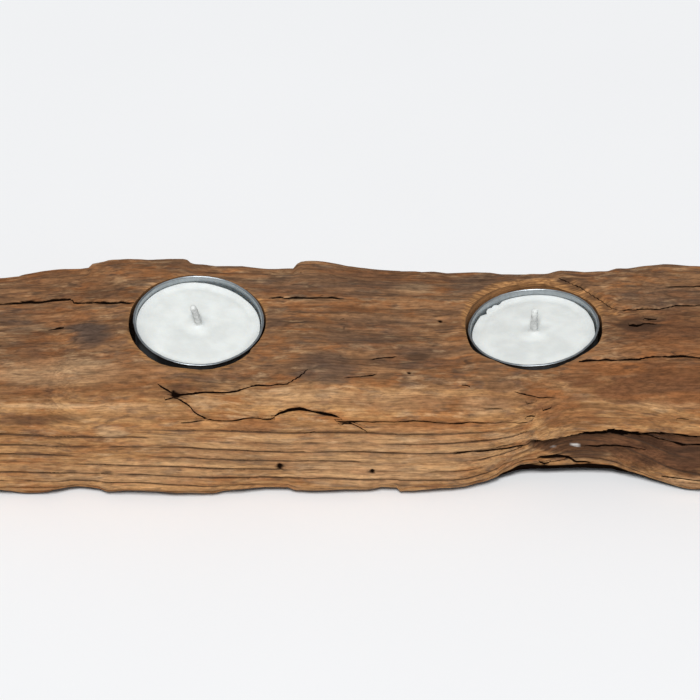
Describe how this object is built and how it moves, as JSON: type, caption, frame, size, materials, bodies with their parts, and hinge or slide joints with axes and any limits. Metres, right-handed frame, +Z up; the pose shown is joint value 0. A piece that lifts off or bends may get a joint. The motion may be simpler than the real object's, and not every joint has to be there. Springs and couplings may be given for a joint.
{
  "type": "tealight holder",
  "caption": "Long weathered driftwood block that stands on a flat underside and holds tealights side by side in drilled round recesses.",
  "frame": {"origin": "under the middle of the driftwood block, on the surface it stands on", "axes": "+X along the block from the left tealight to the right one, +Z up, -Y to the front"},
  "size_m": [0.3, 0.0689, 0.0428],
  "materials": {
    "driftwood": "raw, weathered, cracked along the grain",
    "cup_metal": "thin drawn foil, satin",
    "tab_metal": "pressed tinned steel",
    "wax": "white paraffin wax, slightly translucent",
    "wick": "braided cotton coated in wax"
  },
  "bodies": {
    "holder": {"driftwood_block": "driftwood"},
    "cup_left": {"left_cup": "cup_metal"},
    "candle_left": {"left_wax": "wax", "left_wick": "wick", "left_wick_tab": "tab_metal"},
    "cup_right": {"right_cup": "cup_metal"},
    "candle_right": {"right_wax": "wax", "right_wick": "wick", "right_wick_tab": "tab_metal"}
  },
  "joints": [
    {"name": "left_cup_lift", "type": "slide", "parent": "holder", "child": "cup_left", "axis": [0.0348, -0.0698, 0.997], "range_m": [0, 0.03]},
    {"name": "left_candle_lift", "type": "slide", "parent": "cup_left", "child": "candle_left", "axis": [0.0348, -0.0698, 0.997], "range_m": [0, 0.02]},
    {"name": "right_cup_lift", "type": "slide", "parent": "holder", "child": "cup_right", "axis": [-0.0697, 0.0523, 0.9962], "range_m": [0, 0.03]},
    {"name": "right_candle_lift", "type": "slide", "parent": "cup_right", "child": "candle_right", "axis": [-0.0697, 0.0523, 0.9962], "range_m": [0, 0.02]}
  ]
}
